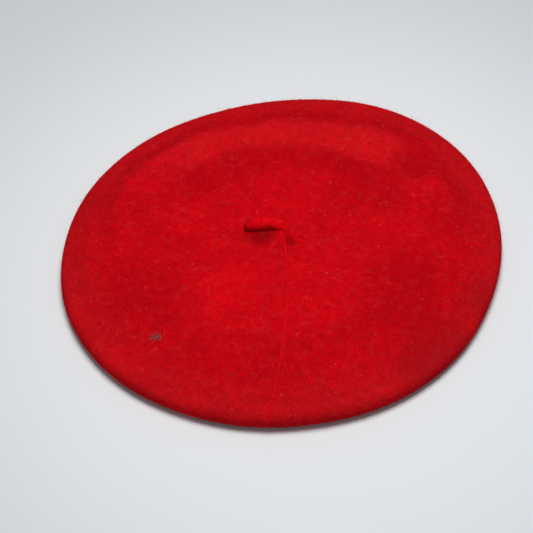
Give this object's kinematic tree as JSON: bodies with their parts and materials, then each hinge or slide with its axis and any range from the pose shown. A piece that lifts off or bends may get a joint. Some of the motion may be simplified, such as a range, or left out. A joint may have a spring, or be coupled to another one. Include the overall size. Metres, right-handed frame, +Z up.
{
  "type": "wool beret",
  "caption": "Round felted wool beret lying flat, with a short stalk, a radial join, a sewn-in leather sweatband and a satin lining.",
  "frame": {"origin": "on the surface that the beret lies on, under the middle of its crown", "axes": "+Z up, out of the top of the crown; -Y towards the back of the head, where the crown's join and the sweatband's bow are; +X to the wearer's left"},
  "size_m": [0.27, 0.2702, 0.0294],
  "materials": {
    "red_wool_felt": "fulled knitted wool, matt and fuzzy, bright red",
    "red_wool_yarn": "woollen yarn of the same red",
    "sweatband_leather": "fine-grained black-brown sheepskin, satin",
    "sewing_thread": "spun sewing thread, dark red",
    "grosgrain_ribbon": "ribbed black ribbon",
    "lining_satin": "dark red satin",
    "clear_vinyl": "thin clear soft plastic",
    "label_tape": "blank off-white woven satin tape"
  },
  "bodies": {
    "beret": {"crown_felt": "red_wool_felt", "crown_join_yarn": "red_wool_yarn", "stalk_stitches": "red_wool_yarn", "stalk_knot": "red_wool_yarn", "sweatband": "sweatband_leather", "sweatband_stitches": "sewing_thread", "sweatband_bow": "grosgrain_ribbon", "lining_top": "lining_satin", "lining_side": "lining_satin", "lining_seam": "sewing_thread", "lining_patch": "clear_vinyl", "patch_stitches": "sewing_thread", "size_tab": "label_tape", "care_label_tack": "sewing_thread"},
    "stalk": {"stalk": "red_wool_felt"},
    "care_label": {"care_label": "label_tape"}
  },
  "joints": [
    {"name": "stalk_bend", "type": "hinge", "parent": "beret", "child": "stalk", "pos_m": [0, 0, 0.0218], "axis": [0.2588, 0.9659, 0], "range_deg": [0, 156]},
    {"name": "care_label_flip", "type": "hinge", "parent": "beret", "child": "care_label", "pos_m": [0.05141, -0.0658, 0.02069], "axis": [0.788, 0.6157, 0], "range_deg": [-6, 75]}
  ]
}
